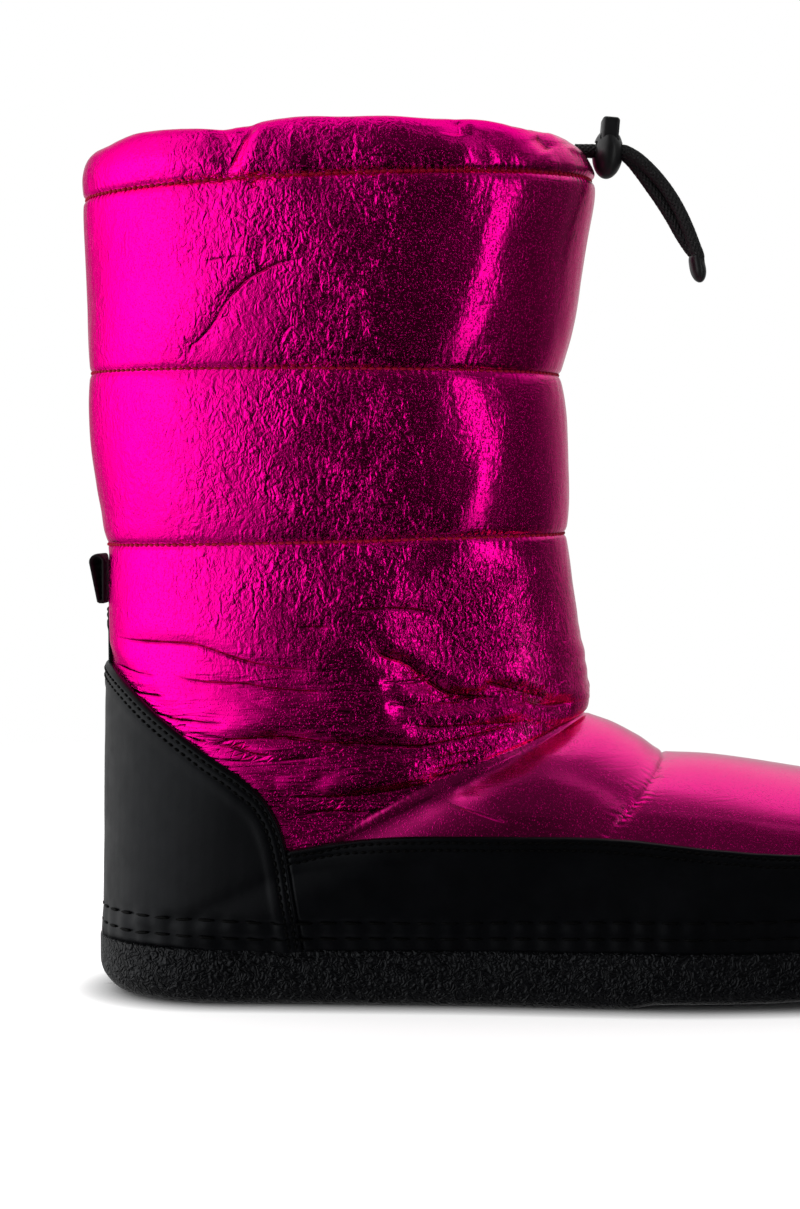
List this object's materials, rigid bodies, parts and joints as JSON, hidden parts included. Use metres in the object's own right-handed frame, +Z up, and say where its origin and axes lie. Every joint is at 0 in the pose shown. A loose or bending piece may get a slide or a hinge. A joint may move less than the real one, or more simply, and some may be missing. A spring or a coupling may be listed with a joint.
{
  "type": "lined bootie",
  "caption": "Pull-on lined bootie for the right foot: padded quilted shaft, gathered drawcord collar with a sprung cord lock, smooth heel counter and rand, moulded sole.",
  "frame": {"origin": "on the floor, under the middle of the boot's box, which is measured without the drawcord and what is on it", "axes": "+X towards the toe, +Y towards the inner (medial) side, +Z up"},
  "size_m": [0.2904, 0.112, 0.2707],
  "materials": {
    "foil_fabric": "metallic foil film on padded cloth",
    "black_overlay": "smooth coated synthetic, satin",
    "black_webbing": "woven tape",
    "black_rubber": "pebbled, matt",
    "black_felt": "fleece and felt",
    "black_cord": "braided",
    "black_plastic": "moulded, satin"
  },
  "bodies": {
    "boot": {"upper": "foil_fabric", "counter": "black_overlay", "rand": "black_overlay", "backstay": "black_overlay", "pull_loop": "black_webbing", "outsole": "black_rubber", "insole": "black_felt", "drawcord_lateral": "black_cord", "drawcord_medial": "black_cord", "drawcord_tip": "black_plastic", "cord_lock_body": "black_plastic"},
    "lock_button": {"cord_lock_button": "black_plastic"}
  },
  "joints": [
    {"name": "button_press", "type": "slide", "parent": "boot", "child": "lock_button", "axis": [-0.0872, 0, -0.9962], "range_m": [0, 0.0024], "stiffness_N_per_m": 600, "springref_m": -0.002}
  ]
}
